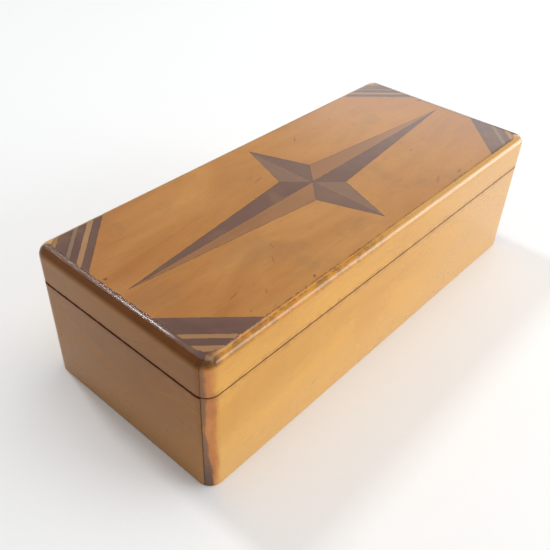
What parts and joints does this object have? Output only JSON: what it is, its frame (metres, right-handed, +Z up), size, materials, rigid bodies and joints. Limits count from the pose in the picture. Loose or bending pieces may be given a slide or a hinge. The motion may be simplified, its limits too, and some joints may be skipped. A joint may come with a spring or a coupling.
{
  "type": "inlaid wooden box",
  "caption": "Long wooden box with a hinged lid, rounded edges, and a compass star and banded corners inlaid in its top.",
  "frame": {"origin": "centre of the underside, with the lid closed", "axes": "+X along the box to its right end, seen from the front; +Y from the long front to the hinged back; +Z up"},
  "size_m": [0.3, 0.129, 0.088],
  "materials": {
    "side_wood": "semi-gloss varnish",
    "inside_wood": "bare, planed",
    "ground_veneer": "semi-gloss varnish",
    "dark_inlay": "semi-gloss varnish",
    "red_brown_inlay": "semi-gloss varnish",
    "grey_brown_inlay": "semi-gloss varnish",
    "light_inlay": "semi-gloss varnish",
    "brass": "aged, satin"
  },
  "bodies": {
    "base": {"base_back_board": "side_wood", "base_bottom_board": "inside_wood", "base_front_board": "side_wood", "base_hinge_leaf_left": "brass", "base_hinge_leaf_right": "brass", "base_hinge_screws": "brass", "base_left_end": "side_wood", "base_right_end": "side_wood", "hinge_pin_left": "brass", "hinge_pin_right": "brass"},
    "lid": {"corner_back_left_first_dark_band": "dark_inlay", "corner_back_left_first_light_line": "light_inlay", "corner_back_left_last_dark_band": "dark_inlay", "corner_back_left_light_tip": "light_inlay", "corner_back_left_middle_dark_band": "dark_inlay", "corner_back_left_second_light_line": "grey_brown_inlay", "corner_back_right_first_dark_band": "dark_inlay", "corner_back_right_first_light_line": "light_inlay", "corner_back_right_last_dark_band": "dark_inlay", "corner_back_right_light_tip": "light_inlay", "corner_back_right_middle_dark_band": "dark_inlay", "corner_back_right_second_light_line": "grey_brown_inlay", "corner_front_left_dark_narrow_band": "dark_inlay", "corner_front_left_dark_wide_band": "dark_inlay", "corner_front_left_light_line": "light_inlay", "corner_front_left_light_tip": "light_inlay", "corner_front_right_dark_narrow_band": "dark_inlay", "corner_front_right_dark_wide_band": "dark_inlay", "corner_front_right_light_line": "grey_brown_inlay", "corner_front_right_light_tip": "light_inlay", "lid_back_rail": "side_wood", "lid_front_rail": "side_wood", "lid_hinge_leaf_left": "brass", "lid_hinge_leaf_right": "brass", "lid_hinge_screws": "brass", "lid_left_rail": "side_wood", "lid_panel": "inside_wood", "lid_right_rail": "side_wood", "star_back_point_left_half": "grey_brown_inlay", "star_back_point_right_half": "dark_inlay", "star_front_point_left_half": "dark_inlay", "star_front_point_right_half": "grey_brown_inlay", "star_left_point_back_half": "dark_inlay", "star_left_point_front_half": "red_brown_inlay", "star_right_point_back_half": "red_brown_inlay", "star_right_point_front_half": "dark_inlay", "top_ground_veneer": "ground_veneer"}
  },
  "joints": [
    {"name": "lid_hinge", "type": "hinge", "parent": "base", "child": "lid", "pos_m": [0, 0.063, 0.066], "axis": [-1, 0, 0], "range_deg": [0, 100]}
  ]
}
